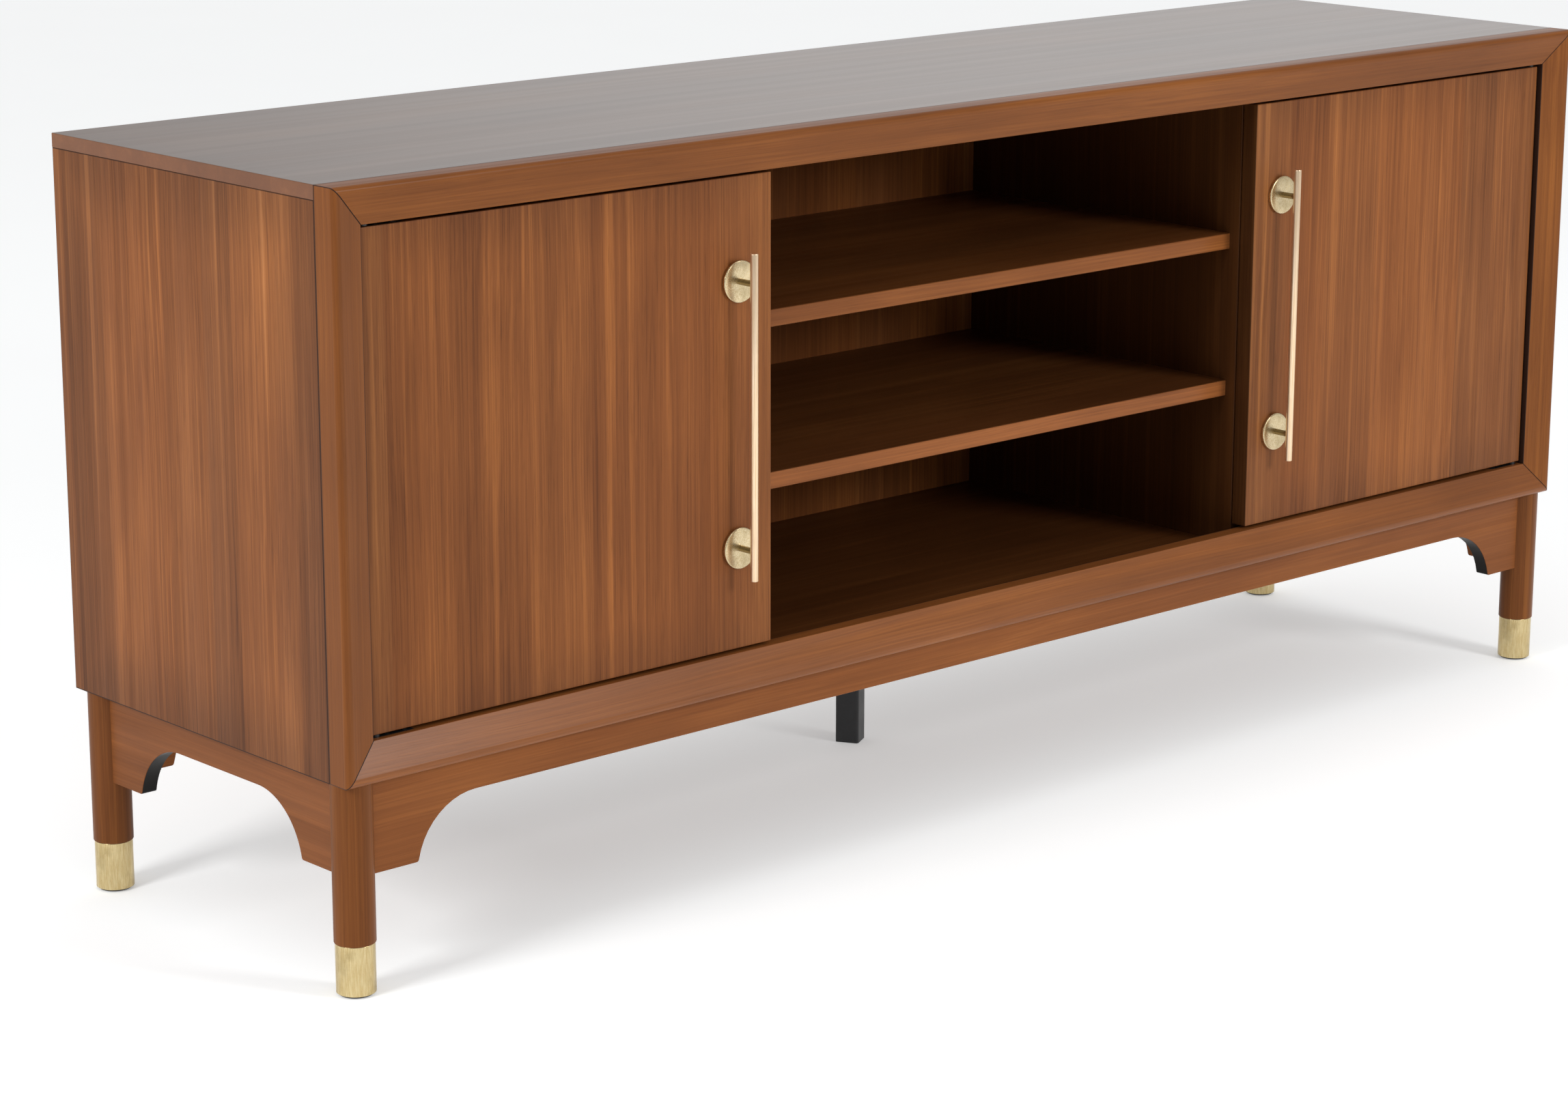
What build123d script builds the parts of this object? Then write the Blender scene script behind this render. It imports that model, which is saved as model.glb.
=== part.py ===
from build123d import *
import os

# Walnut media console: a long case on four round legs, with two inset doors either side of an
# open bay. Millimetres. X runs along the width, +Y from front to back, +Z up from the floor.
# The origin is on the floor, under the middle of the whole object, handles included.

os.makedirs("parts", exist_ok=True)

# ---- driving dimensions -------------------------------------------------------------------
CASE_W = 1778.0           # 70 in over the side panels
CASE_D = 457.2            # 18 in from the front of the frame to the back
TOTAL_H = 762.0           # 30 in from the floor to the top
CASE_BOTTOM = 207.0       # underside of the case

TOP_T = 14.0
PANEL_T = 18.0
BACK_T = 5.0
BACK_RABBET = 9.0         # how far the back panel reaches into each side panel
PANEL_EASE = 0.6          # arris on the outer panels

FRAME_FACE = 38.0         # face width of the mitred front moulding
FRAME_DEPTH = 29.0
FRAME_FALL = 11.0         # how far its face slopes back at the opening
FRAME_FLAT = 7.0          # flat on the nose before the slope starts
FRAME_NOSE_R = 4.5
FRAME_KNEE_R = 10.0
FRAME_ARRIS = 0.8
FRAME_BACK_R = 0.6
MITRE_CHAMFER = 0.35

BAY_W = 712.0             # clear width between the partitions
BAY_SHELF_SETBACK = 50.6  # front of the bay shelves behind the nose
UPPER_SHELF_TOP = 575.5
LOWER_SHELF_TOP = 410.0
SHELF_EASE = 1.5

DOOR_T = 20.0
DOOR_RECESS = 15.6        # door face behind the nose
DOOR_SIDE_GAP = 2.5
DOOR_END_GAP = 3.0
DOOR_EASE = 1.2
DOOR_TO_PARTITION = 1.4

CABINET_SHELF_SETBACK = 62.0
CABINET_SHELF_PLAY = 0.5
PIN_R = 2.5
PIN_REACH = 8.0           # into the panel, and out under the shelf
PIN_FROM_ENDS = 45.0      # from the shelf's front and back edges

BAR_R = 4.0
BAR_L = 327.0
BAR_END_EASE = 0.8
BAR_STANDOFF = 23.2       # axis of the bar in front of the door face
POST_R = 3.2
POST_SPACING = 266.7
HANDLE_INSET = 43.0       # from the door's free edge to the handle
ROSETTE_R = 21.0
ROSETTE_T = 4.0
ROSETTE_RIM_R = 1.2
HANDLE_SCREW_R = 2.0
HANDLE_SCREW_IN_POST = 12.0
HANDLE_HEAD_R = 4.0
HANDLE_HEAD_T = 2.5

PIVOT_FROM_EDGE = 7.0     # hinge axis from the door's hinged edge
PIVOT_FROM_FACE = 6.0     # and from the door's face
LEAF_T = 2.0
LEAF_FRONT = 4.5          # leaf edges in front of and behind the axis
LEAF_BACK = 5.5
LEAF_TAIL = 5.0           # leaf ends towards and away from the stile
LEAF_REACH = 42.0
LEAF_CORNER_R = 2.0
HINGE_PIN_R = 2.5
HINGE_PLAY = 0.05         # radial running fit of the pin in the door leaf
HINGE_RING_R = 4.2
HINGE_RING_PLAY = 0.2
HINGE_PIN_IN_DOOR = 8.0
HINGE_HOLE_EXTRA = 0.4    # the door's own hole is wider and deeper than the pin
HINGE_SCREW_OFFSETS = (14.0, 34.0)

SCREW_R = 1.5
SCREW_HEAD_R = 2.7
SCREW_HEAD_T = 1.6
HINGE_SCREW_L = 14.0
BACK_SCREW_L = 18.0
BACK_SCREW_FROM_ENDS = 40.0
BACK_SCREWS_ALONG_BOTTOM = (-650.0, -220.0, 220.0, 650.0)
BASE_SCREW_L = 38.0
PLATE_SCREW_L = 14.0

CATCH_W = 14.0
CATCH_D = 18.0
CATCH_H = 40.0
CATCH_FROM_TOP = 30.0     # below the opening's top edge
CATCH_EASE = 1.0
CATCH_PLAY = 0.4
STRIKE_W = 12.0
STRIKE_T = 1.5
STRIKE_OFFSET = 1.0       # from the partition's face

LEG_X = 868.0
LEG_FROM_FRONT = 24.6     # leg axis behind the nose, and before the back face
LEG_R = 20.0
TENON_R = 17.6
FERRULE_R = 19.0
FERRULE_TOP = 51.0
FERRULE_EASE = 0.6
LEG_EASE = 0.6
GLIDE_R = 16.5
GLIDE_FOOT = 2.0
GLIDE_PLUG = 8.0

APRON_T = 17.0
APRON_PROUD = 9.0         # apron face outside the leg axis
APRON_EDGE = 172.5        # straight underside between the brackets
BRACKET_BOTTOM = 115.0
BRACKET_REACH = 68.0      # bracket's lower corner from the leg axis
BRACKET_R = 70.0
BRACKET_TIP_R = 3.0
APRON_EASE = 0.8

BLOCK_LEG = 70.0          # corner block's equal sides along the aprons
BLOCK_H = 27.0
BLOCK_SCREW_SIDESTEP = 9.0  # puts its screw beside the bolt
BOLT_R = 3.0
BOLT_IN_LEG = 14.0        # how far into the leg, measured from its surface
BOLT_PAST_NUT = 3.0
NUT_R = 5.8
NUT_T = 5.0

CENTER_LEG_X = 29.0
CENTER_LEG_FROM_FRONT = 309.6
CENTER_LEG_SIDE = 27.0
CENTER_LEG_TURN = 30.0    # it screws in, and stops at this angle
CENTER_LEG_EASE = 3.0
CENTER_PLATE_SIDE = 56.0
CENTER_PLATE_T = 3.0
CENTER_PLATE_EASE = 4.0
PLATE_SCREW_PITCH = 40.0

# ---- derived values -----------------------------------------------------------------------
DOOR_FACE_TO_BAR = BAR_STANDOFF + BAR_R
HANDLE_PROUD = DOOR_FACE_TO_BAR - DOOR_RECESS
FRONT = (HANDLE_PROUD - CASE_D) / 2
BACK = FRONT + CASE_D
HALF_W = CASE_W / 2
FRAME_BACK = FRONT + FRAME_DEPTH
SIDE_INNER = HALF_W - PANEL_T
TOP_UNDER = TOTAL_H - TOP_T
FLOOR_TOP = CASE_BOTTOM + PANEL_T
BACK_FACE = BACK - BACK_T

OPEN_X = HALF_W - FRAME_FACE
OPEN_LOW = CASE_BOTTOM + FRAME_FACE
OPEN_HIGH = TOTAL_H - FRAME_FACE

BAY_X = BAY_W / 2
PARTITION_OUT = BAY_X + PANEL_T

DOOR_FRONT = FRONT + DOOR_RECESS
DOOR_BACK = DOOR_FRONT + DOOR_T
DOOR_OUT = OPEN_X - DOOR_SIDE_GAP
DOOR_LOW = OPEN_LOW + DOOR_END_GAP
DOOR_HIGH = OPEN_HIGH - DOOR_END_GAP
DOOR_MID = (DOOR_LOW + DOOR_HIGH) / 2
PARTITION_FRONT = DOOR_BACK + DOOR_TO_PARTITION

PIVOT_X = DOOR_OUT - PIVOT_FROM_EDGE
PIVOT_Y = DOOR_FRONT + PIVOT_FROM_FACE

HANDLE_X = BAY_X + HANDLE_INSET
BAR_Y = DOOR_FRONT - BAR_STANDOFF
POST_LEVELS = (DOOR_MID - POST_SPACING / 2, DOOR_MID + POST_SPACING / 2)

CATCH_HIGH = OPEN_HIGH - CATCH_FROM_TOP
STRIKE_BACK = DOOR_BACK + STRIKE_T

LEG_Y_FRONT = FRONT + LEG_FROM_FRONT
LEG_Y_BACK = BACK - LEG_FROM_FRONT
CENTER_LEG_Y = FRONT + CENTER_LEG_FROM_FRONT
BLOCK_LOW = CASE_BOTTOM - BLOCK_H

SIDES = {"left": -1, "right": 1}
ENDS = {"front": -1, "back": 1}


# ---- helpers ------------------------------------------------------------------------------
def block(x, y, z, ease=0.0):
    """A box between pairs of coordinates, in either order, with its arrises eased."""
    middle = [(a + b) / 2 for a, b in (x, y, z)]
    size = [abs(b - a) for a, b in (x, y, z)]
    solid = Pos(*middle) * Box(*size)
    return fillet(solid.edges(), ease) if ease else solid


def rod(start, end, radius):
    """A round bar from one point to another."""
    axis = Vector(*end) - Vector(*start)
    plane = Plane(origin=start, z_dir=axis)
    return extrude(plane * Circle(radius), amount=axis.length)


def wood_screw(tip_direction, head, length):
    """A countersunk screw whose head is flush at the point head."""
    plane = Plane(origin=head, z_dir=tip_direction)
    shank = extrude(plane * Circle(SCREW_R), amount=length)
    sink = plane * Pos(0, 0, SCREW_HEAD_T / 2) * Cone(SCREW_HEAD_R, SCREW_R, SCREW_HEAD_T)
    return (shank + sink).solid()


def cut(solid, tools):
    """The solid with every tool taken out of it."""
    for tool in tools:
        solid = solid - tool
    return solid


def outline(plane, points):
    """A closed face through the points on a plane."""
    return make_face(plane * Polyline(*points, close=True))


def save(name, shape):
    """Write one node: a solid, or a list of separate solids that share it."""
    if isinstance(shape, list):
        shape = Compound(children=[item.solid() for item in shape])
    export_step(shape, f"parts/{name}.step")


# ---- hinges -------------------------------------------------------------------------------
# Each door turns on two knife hinges: a leaf with a pin let into the frame rail, and a leaf
# with a hole let into the door's end.
def leaf_plate(side, z_low):
    """One rounded leaf, at the hinge axis, lying between z_low and z_low + LEAF_T."""
    x = (side * (PIVOT_X + LEAF_TAIL), side * (PIVOT_X - LEAF_REACH))
    y = (PIVOT_Y - LEAF_FRONT, PIVOT_Y + LEAF_BACK)
    plate = block(x, y, (z_low, z_low + LEAF_T))
    return fillet(plate.edges().filter_by(Axis.Z), LEAF_CORNER_R)


def hinge_levels(end):
    """Heights at a door's top (end 1) or bottom (end -1): rail face and door end."""
    rail = OPEN_HIGH if end > 0 else OPEN_LOW
    door = DOOR_HIGH if end > 0 else DOOR_LOW
    return rail, door


def rail_leaf_low(end):
    """Underside of the leaf let into the top or bottom rail."""
    return OPEN_HIGH if end > 0 else OPEN_LOW - LEAF_T


def leaf_screws(side, end, in_door):
    """The two screws of one leaf."""
    rail, door = hinge_levels(end)
    head = door if in_door else rail
    direction = -end if in_door else end
    return [
        wood_screw((0, 0, direction), (side * (PIVOT_X - offset), PIVOT_Y, head), HINGE_SCREW_L)
        for offset in HINGE_SCREW_OFFSETS
    ]


def frame_leaf(side, end):
    """The leaf in the rail, with its spacing ring and pin in one piece."""
    rail, door = hinge_levels(end)
    plate = leaf_plate(side, rail_leaf_low(end))
    centre = (side * PIVOT_X, PIVOT_Y)
    ring_end = door + end * HINGE_RING_PLAY
    pin_end = door - end * (LEAF_T + HINGE_PIN_IN_DOOR)
    ring = rod((*centre, rail), (*centre, ring_end), HINGE_RING_R)
    pin = rod((*centre, rail), (*centre, pin_end), HINGE_PIN_R)
    return cut(plate + ring + pin, leaf_screws(side, end, in_door=False))


def door_leaf_blank(side, end):
    """The door leaf before its holes, which is also the shape of its recess."""
    door = hinge_levels(end)[1]
    return leaf_plate(side, door - LEAF_T if end > 0 else door)


def door_leaf(side, end):
    """The leaf in the door's end, bored for the pin."""
    door = hinge_levels(end)[1]
    centre = (side * PIVOT_X, PIVOT_Y)
    bore = rod((*centre, door), (*centre, door - end * LEAF_T), HINGE_PIN_R + HINGE_PLAY)
    return cut(door_leaf_blank(side, end), [bore, *leaf_screws(side, end, in_door=True)])


def pin_clearance(side, end):
    """The hole in the door itself, beyond the leaf."""
    door = hinge_levels(end)[1]
    centre = (side * PIVOT_X, PIVOT_Y)
    depth = LEAF_T + HINGE_PIN_IN_DOOR + HINGE_HOLE_EXTRA
    return rod((*centre, door), (*centre, door - end * depth), HINGE_PIN_R + HINGE_HOLE_EXTRA)


# ---- front frame --------------------------------------------------------------------------
def moulding_face(plane):
    """Section of the moulding: x inwards from its outer edge, y backwards from its nose."""
    corners = [
        (0, 0), (FRAME_FLAT, 0), (FRAME_FACE, FRAME_FALL), (FRAME_FACE, FRAME_DEPTH),
        (0, FRAME_DEPTH),
    ]
    rounds = (FRAME_NOSE_R, FRAME_KNEE_R, FRAME_ARRIS, 0, FRAME_BACK_R)
    face = make_face(FilletPolyline(*corners, radius=rounds, close=True))
    return plane * face


def frame_piece(corner, inward, along, length, mitre):
    """A length of moulding from a point of the frame's outer edge, trimmed to its mitred
    outline, with the corners of each mitre taken off so that the joint shows as a fine line."""
    normal = Vector(*inward).cross(Vector(0, 1, 0))
    section = moulding_face(Plane(origin=corner, x_dir=inward, z_dir=normal))
    bar = extrude(section, amount=length, dir=along)
    bar = bar & extrude(outline(Plane.XZ, mitre), amount=CASE_D, both=True)
    diagonals = [Vector(x, 0, z).normalized() for x in (-1, 1) for z in (-1, 1)]
    ends = [face for face in bar.faces() if face.normal_at() in diagonals]
    return chamfer([edge for face in ends for edge in face.edges()], MITRE_CHAMFER)


def rail(end):
    """Top (end 1) or bottom (end -1) rail, mitred at both ends and let in for the hinges."""
    outer = TOTAL_H if end > 0 else CASE_BOTTOM
    inner = outer - end * FRAME_FACE
    mitre = [(0, outer), (HALF_W, outer), (OPEN_X, inner), (0, inner)]
    right_half = frame_piece((0, FRONT, outer), (0, 0, -end), (1, 0, 0), HALF_W, mitre)
    shape = right_half + mirror(right_half, about=Plane.YZ)
    tools = []
    for side in SIDES.values():
        tools.append(leaf_plate(side, rail_leaf_low(end)))
        tools += leaf_screws(side, end, in_door=False)
    return cut(shape, tools)


def stile(side):
    """Left or right upright of the frame, mitred at both ends."""
    mitre = [(HALF_W, CASE_BOTTOM), (HALF_W, TOTAL_H), (OPEN_X, OPEN_HIGH), (OPEN_X, OPEN_LOW)]
    height = TOTAL_H - CASE_BOTTOM
    right = frame_piece((HALF_W, FRONT, CASE_BOTTOM), (-1, 0, 0), (0, 0, 1), height, mitre)
    return right if side > 0 else mirror(right, about=Plane.YZ)


# ---- case panels --------------------------------------------------------------------------
def back_screws():
    """The screws that hold the back panel, grouped by the panel they bite into."""
    lowest = FLOOR_TOP + BACK_SCREW_FROM_ENDS
    highest = TOP_UNDER - BACK_SCREW_FROM_ENDS
    levels = (lowest, (lowest + highest) / 2, highest)
    in_bottom = CASE_BOTTOM + PANEL_T / 2
    in_rabbet = SIDE_INNER + BACK_RABBET / 2
    in_partition = BAY_X + PANEL_T / 2

    def screw(x, z):
        return wood_screw((0, -1, 0), (x, BACK, z), BACK_SCREW_L)

    groups = {"bottom": [screw(x, in_bottom) for x in BACK_SCREWS_ALONG_BOTTOM]}
    for name, side in SIDES.items():
        groups[name + "_side"] = [screw(side * in_rabbet, z) for z in levels]
        groups[name + "_partition"] = [screw(side * in_partition, z) for z in levels]
    return groups


def shelf_pins(side):
    """Four pins under a cabinet shelf, half in the panel and half under the shelf."""
    z = cabinet_shelf_low() - PIN_R
    front = FRONT + CABINET_SHELF_SETBACK + PIN_FROM_ENDS
    rear = BACK_FACE - PIN_FROM_ENDS
    pins = []
    for y in (front, rear):
        for face, inward in ((SIDE_INNER, -1), (PARTITION_OUT, 1)):
            start = side * (face - inward * PIN_REACH)
            end = side * (face + inward * PIN_REACH)
            pins.append(rod((start, y, z), (end, y, z), PIN_R))
    return pins


def cabinet_shelf_low():
    """Underside of the shelf behind each door, halfway up the cabinet."""
    return (FLOOR_TOP + TOP_UNDER - PANEL_T) / 2


def cabinet_shelf(side):
    low = cabinet_shelf_low()
    x = (
        side * (PARTITION_OUT + CABINET_SHELF_PLAY),
        side * (SIDE_INNER - CABINET_SHELF_PLAY),
    )
    y = (FRONT + CABINET_SHELF_SETBACK, BACK_FACE - CABINET_SHELF_PLAY)
    return block(x, y, (low, low + PANEL_T), SHELF_EASE)


def bay_shelf(top):
    y = (FRONT + BAY_SHELF_SETBACK, BACK_FACE)
    shelf = block((-BAY_X, BAY_X), y, (top - PANEL_T, top))
    return fillet(shelf.edges().filter_by(Axis.X).group_by(Axis.Y)[0], SHELF_EASE)


def top_panel():
    panel = block((-HALF_W, HALF_W), (FRAME_BACK, BACK), (TOP_UNDER, TOTAL_H))
    return fillet(panel.edges().filter_by(Axis.Y), PANEL_EASE)


def side_panel(side, screws):
    panel = block((side * SIDE_INNER, side * HALF_W), (FRAME_BACK, BACK), (CASE_BOTTOM, TOP_UNDER))
    upright = panel.edges().filter_by(Axis.Z).sort_by(Axis.X)
    top = panel.edges().filter_by(Axis.Y).group_by(Axis.Z)[-1].sort_by(Axis.X)
    outer = upright[:2] + top[:1] if side < 0 else upright[-2:] + top[-1:]
    panel = fillet(outer, PANEL_EASE)
    rabbet = block(
        (side * SIDE_INNER, side * (SIDE_INNER + BACK_RABBET)),
        (BACK_FACE, BACK),
        (CASE_BOTTOM, TOP_UNDER),
    )
    return cut(panel, [rabbet, *screws, *shelf_pins(side)])


def partition(side, screws):
    x = (side * BAY_X, side * PARTITION_OUT)
    panel = block(x, (PARTITION_FRONT, BACK_FACE), (FLOOR_TOP, TOP_UNDER))
    panel = fillet(panel.edges().filter_by(Axis.Z).group_by(Axis.Y)[0], PANEL_EASE)
    return cut(panel, [*screws, *shelf_pins(side)])


def bottom_panel(screws):
    panel = block((-SIDE_INNER, SIDE_INNER), (FRAME_BACK, BACK_FACE), (CASE_BOTTOM, FLOOR_TOP))
    return cut(panel, screws)


def back_panel(screws):
    reach = SIDE_INNER + BACK_RABBET
    panel = block((-reach, reach), (BACK_FACE, BACK), (CASE_BOTTOM, TOP_UNDER))
    return cut(panel, screws)


# ---- doors --------------------------------------------------------------------------------
def handle_screw(side, level):
    """A machine screw from inside the door into a handle post."""
    x = side * HANDLE_X
    tip = DOOR_FRONT - ROSETTE_T - HANDLE_SCREW_IN_POST
    shank = rod((x, DOOR_BACK, level), (x, tip, level), HANDLE_SCREW_R)
    head = rod((x, DOOR_BACK, level), (x, DOOR_BACK + HANDLE_HEAD_T, level), HANDLE_HEAD_R)
    return shank + head


def handle_bar(side):
    x = side * HANDLE_X
    bar = rod((x, BAR_Y, DOOR_MID - BAR_L / 2), (x, BAR_Y, DOOR_MID + BAR_L / 2), BAR_R)
    return fillet(bar.edges().filter_by(GeomType.CIRCLE), BAR_END_EASE)


def handle_post(side, level):
    """A post from the door's face to the bar, coped round it."""
    x = side * HANDLE_X
    post = rod((x, DOOR_FRONT, level), (x, BAR_Y, level), POST_R)
    bar = rod((x, BAR_Y, level - BAR_L), (x, BAR_Y, level + BAR_L), BAR_R)
    return cut(post, [bar, handle_screw(side, level)])


def rosette(side, level):
    x = side * HANDLE_X
    disc = rod((x, DOOR_FRONT, level), (x, DOOR_FRONT - ROSETTE_T, level), ROSETTE_R)
    disc = fillet(disc.edges().sort_by(Axis.Y)[0], ROSETTE_RIM_R)
    post = rod((x, DOOR_FRONT, level), (x, BAR_Y, level), POST_R)
    return cut(disc, [post])


def door(side):
    x = (side * BAY_X, side * DOOR_OUT)
    panel = block(x, (DOOR_FRONT, DOOR_BACK), (DOOR_LOW, DOOR_HIGH), DOOR_EASE)
    tools = [handle_screw(side, level) for level in POST_LEVELS]
    for end in (-1, 1):
        tools.append(door_leaf_blank(side, end))
        tools.append(pin_clearance(side, end))
        tools += leaf_screws(side, end, in_door=True)
    return cut(panel, tools)


def catch(side):
    """The magnetic catch on the cabinet side of the partition."""
    x = (side * PARTITION_OUT, side * (PARTITION_OUT + CATCH_W))
    front = STRIKE_BACK + CATCH_PLAY
    return block(x, (front, front + CATCH_D), (CATCH_HIGH - CATCH_H, CATCH_HIGH), CATCH_EASE)


def strike_plate(side):
    near = PARTITION_OUT + STRIKE_OFFSET
    x = (side * near, side * (near + STRIKE_W))
    return block(x, (DOOR_BACK, STRIKE_BACK), (CATCH_HIGH - CATCH_H, CATCH_HIGH))


# ---- base ---------------------------------------------------------------------------------
def leg_axis(side, end):
    return side * LEG_X, LEG_Y_BACK if end > 0 else LEG_Y_FRONT


def leg(side, end, bolt):
    """Round leg, turned down at the foot to take the ferrule."""
    x, y = leg_axis(side, end)
    shaft = rod((x, y, FERRULE_TOP), (x, y, CASE_BOTTOM), LEG_R)
    shaft = fillet(shaft.edges().sort_by(Axis.Z)[0], LEG_EASE)
    tenon = rod((x, y, GLIDE_PLUG), (x, y, FERRULE_TOP), TENON_R)
    return cut(shaft + tenon, [bolt])


def ferrule(side, end):
    x, y = leg_axis(side, end)
    tube = rod((x, y, GLIDE_FOOT), (x, y, FERRULE_TOP), FERRULE_R)
    tube = fillet(tube.edges().filter_by(GeomType.CIRCLE), FERRULE_EASE)
    return tube - rod((x, y, GLIDE_FOOT), (x, y, FERRULE_TOP), TENON_R)


def foot_glide(side, end):
    x, y = leg_axis(side, end)
    plug = rod((x, y, GLIDE_FOOT), (x, y, GLIDE_PLUG), TENON_R)
    return plug + rod((x, y, 0), (x, y, GLIDE_FOOT), GLIDE_R)


def apron(half_span, plane):
    """A rail between two legs with a bracket at each end.

    The plane lies on the rail's outer face, with its x along the rail and its normal inwards.
    """
    centre_x = half_span - BRACKET_REACH - BRACKET_R
    centre_z = APRON_EDGE - BRACKET_R
    tip_x = centre_x + (BRACKET_R**2 - (BRACKET_BOTTOM - centre_z) ** 2) ** 0.5
    diagonal = BRACKET_R * 2**-0.5
    lines = [
        Line((-centre_x, APRON_EDGE), (centre_x, APRON_EDGE)),
        Line((-half_span, CASE_BOTTOM), (half_span, CASE_BOTTOM)),
    ]
    for sign in (-1, 1):
        tip = (sign * tip_x, BRACKET_BOTTOM)
        bend = (sign * (centre_x + diagonal), centre_z + diagonal)
        lines.append(ThreePointArc(tip, bend, (sign * centre_x, APRON_EDGE)))
        lines.append(Line(tip, (sign * half_span, BRACKET_BOTTOM)))
        lines.append(Line((sign * half_span, BRACKET_BOTTOM), (sign * half_span, CASE_BOTTOM)))
    board = extrude(plane * make_face(lines), amount=APRON_T, dir=plane.z_dir)
    along, inwards = (Axis(plane.origin, way) for way in (plane.x_dir, plane.z_dir))
    lowest = board.edges().filter_by(inwards).group_by(Axis.Z)[0]
    board = fillet(lowest.sort_by(along)[1:-1], BRACKET_TIP_R)
    outer_face = board.faces().sort_by(inwards)[0]
    shaped = outer_face.edges().sort_by(Axis.Z)[:-3]
    return fillet(shaped, APRON_EASE)


def legs_at(points):
    return [rod((x, y, 0), (x, y, CASE_BOTTOM), LEG_R) for x, y in points]


def long_apron(end):
    """Front (end -1) or back (end 1) apron."""
    face = leg_axis(1, end)[1] + end * APRON_PROUD
    plane = Plane(origin=(0, face, 0), x_dir=(end, 0, 0), z_dir=(0, -end, 0))
    board = apron(LEG_X, plane)
    return cut(board, legs_at([leg_axis(side, end) for side in SIDES.values()]))


def end_apron(side):
    """Left or right apron."""
    middle = (LEG_Y_FRONT + LEG_Y_BACK) / 2
    half_span = (LEG_Y_BACK - LEG_Y_FRONT) / 2
    face = side * (LEG_X + APRON_PROUD)
    plane = Plane(origin=(face, middle, 0), x_dir=(0, -side, 0), z_dir=(-side, 0, 0))
    board = apron(half_span, plane)
    return cut(board, legs_at([leg_axis(side, end) for end in ENDS.values()]))


def block_corner(side, end):
    """Where the inner faces of two aprons meet."""
    x, y = leg_axis(side, end)
    inset = APRON_T - APRON_PROUD
    return x - side * inset, y - end * inset


def diagonal_point(side, end, distance, z):
    """A point on the line from a leg's axis towards the middle of the case."""
    x, y = leg_axis(side, end)
    step = distance * 2**-0.5
    return x - side * step, y - end * step, z


def block_face_distance():
    """From a leg's axis to the corner block's long face, along the diagonal."""
    inset = APRON_T - APRON_PROUD
    return inset * 2**0.5 + BLOCK_LEG * 2**-0.5


def leg_bolt(side, end):
    z = BLOCK_LOW + BLOCK_H / 2
    start = diagonal_point(side, end, LEG_R - BOLT_IN_LEG, z)
    tip = diagonal_point(side, end, block_face_distance() + NUT_T + BOLT_PAST_NUT, z)
    return rod(start, tip, BOLT_R)


def bolt_nut(side, end):
    z = BLOCK_LOW + BLOCK_H / 2
    face = diagonal_point(side, end, block_face_distance(), z)
    plane = Plane(origin=face, z_dir=(-side, -end, 0))
    hexagon = extrude(plane * RegularPolygon(NUT_R, 6), amount=NUT_T)
    return hexagon - leg_bolt(side, end)


def base_screw(side, end):
    """From under the corner block up into the case's bottom, beside the bolt."""
    x, y, z = diagonal_point(side, end, (block_face_distance() + LEG_R) / 2, BLOCK_LOW)
    x += side * BLOCK_SCREW_SIDESTEP
    y -= end * BLOCK_SCREW_SIDESTEP
    return wood_screw((0, 0, 1), (x, y, z), BASE_SCREW_L)


def corner_block(side, end):
    x, y = block_corner(side, end)
    points = [(x, y), (x - side * BLOCK_LEG, y), (x, y - end * BLOCK_LEG)]
    face = outline(Plane.XY.offset(BLOCK_LOW), points)
    prism = extrude(face, amount=BLOCK_H, dir=(0, 0, 1))
    tools = [*legs_at([leg_axis(side, end)]), leg_bolt(side, end), base_screw(side, end)]
    return cut(prism, tools)


def plate_screws():
    """Four screws at the corners of the centre leg's plate, up into the case's bottom."""
    level = CASE_BOTTOM - CENTER_PLATE_T
    place = Pos(CENTER_LEG_X, CENTER_LEG_Y, level) * Rot(0, 0, CENTER_LEG_TURN)
    spots = GridLocations(PLATE_SCREW_PITCH, PLATE_SCREW_PITCH, 2, 2)
    heads = [(place * spot).position for spot in spots]
    return [wood_screw((0, 0, 1), tuple(head), PLATE_SCREW_L) for head in heads]


def center_leg():
    post = Box(CENTER_LEG_SIDE, CENTER_LEG_SIDE, CASE_BOTTOM - CENTER_PLATE_T)
    post = fillet(post.edges().filter_by(Axis.Z), CENTER_LEG_EASE)
    place = Pos(CENTER_LEG_X, CENTER_LEG_Y, (CASE_BOTTOM - CENTER_PLATE_T) / 2)
    return place * Rot(0, 0, CENTER_LEG_TURN) * post


def center_leg_plate():
    plate = Box(CENTER_PLATE_SIDE, CENTER_PLATE_SIDE, CENTER_PLATE_T)
    plate = fillet(plate.edges().filter_by(Axis.Z), CENTER_PLATE_EASE)
    place = Pos(CENTER_LEG_X, CENTER_LEG_Y, CASE_BOTTOM - CENTER_PLATE_T / 2)
    return cut(place * Rot(0, 0, CENTER_LEG_TURN) * plate, plate_screws())


# ---- build --------------------------------------------------------------------------------
screws = back_screws()
all_back_screws = [screw for group in screws.values() for screw in group]
corners = [(side, end) for side in SIDES.values() for end in ENDS.values()]
base_screws = [base_screw(side, end) for side, end in corners]

save("top_panel", top_panel())
save("bottom_panel", bottom_panel([*screws["bottom"], *base_screws, *plate_screws()]))
save("back_panel", back_panel(all_back_screws))
save("back_panel_screws", all_back_screws)
save("bay_upper_shelf", bay_shelf(UPPER_SHELF_TOP))
save("bay_lower_shelf", bay_shelf(LOWER_SHELF_TOP))
save("frame_top_rail", rail(1))
save("frame_bottom_rail", rail(-1))
save("frame_hinge_screws", [
    screw
    for side in SIDES.values()
    for end in (-1, 1)
    for screw in leaf_screws(side, end, in_door=False)
])

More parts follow.
